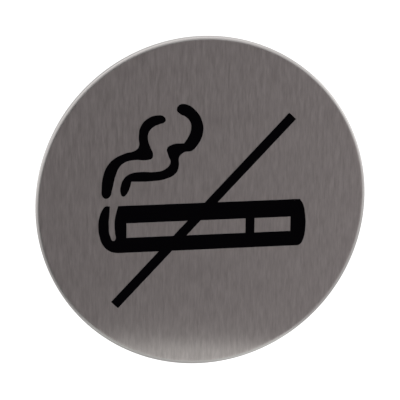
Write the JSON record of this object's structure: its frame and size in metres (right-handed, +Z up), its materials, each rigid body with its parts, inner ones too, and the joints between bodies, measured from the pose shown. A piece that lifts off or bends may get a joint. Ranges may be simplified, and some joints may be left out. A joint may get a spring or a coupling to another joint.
{
  "type": "no smoking sign",
  "caption": "Round brushed steel sign with the no smoking pictogram, a cigarette with rising smoke crossed by a slanting bar, printed in black on its face, for sticking on a door or wall.",
  "frame": {"origin": "centre of the adhesive pad's back face, which is pressed on the wall", "axes": "+Z up, the sign's face towards -Y, +X to the reader's right"},
  "size_m": [0.083, 0.0023, 0.083],
  "materials": {
    "brushed_stainless_steel": "fine straight brushing that runs up and down",
    "foam_tape": "off-white closed-cell foam with an adhesive film on both faces",
    "matt_black_ink": "flat matt black print"
  },
  "bodies": {
    "root": {"sign_plate": "brushed_stainless_steel", "adhesive_pad": "foam_tape", "pictogram_cigarette": "matt_black_ink", "pictogram_smoke_left": "matt_black_ink", "pictogram_smoke_right": "matt_black_ink"}
  },
  "joints": []
}
